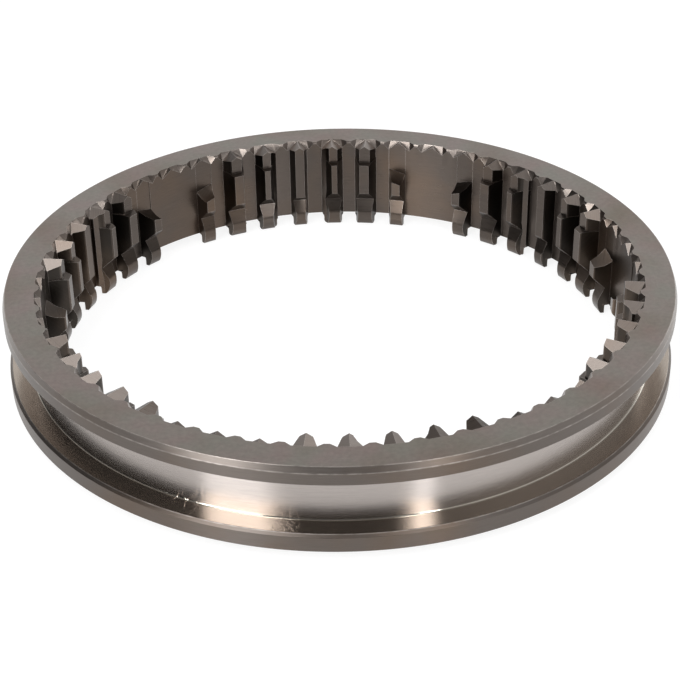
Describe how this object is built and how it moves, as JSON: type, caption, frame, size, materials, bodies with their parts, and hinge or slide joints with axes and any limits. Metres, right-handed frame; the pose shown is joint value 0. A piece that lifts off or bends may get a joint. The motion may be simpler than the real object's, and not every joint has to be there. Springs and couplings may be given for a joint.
{
  "type": "synchronizer ring",
  "caption": "Sliding sleeve of a gearbox synchronizer: steel ring with a fork groove outside and pointed internal spline teeth with a detent groove.",
  "frame": {"origin": "on the ring axis, in the plane of the lower ends of the teeth, on which the ring rests", "axes": "+Z along the ring axis towards the pointed tooth tips, +Y through the plain middle tooth of one group"},
  "size_m": [0.17, 0.17, 0.0257],
  "materials": {
    "machined_steel": "turned and hardened, lightly oiled"
  },
  "bodies": {
    "root": {"sliding_sleeve": "machined_steel"}
  },
  "joints": []
}
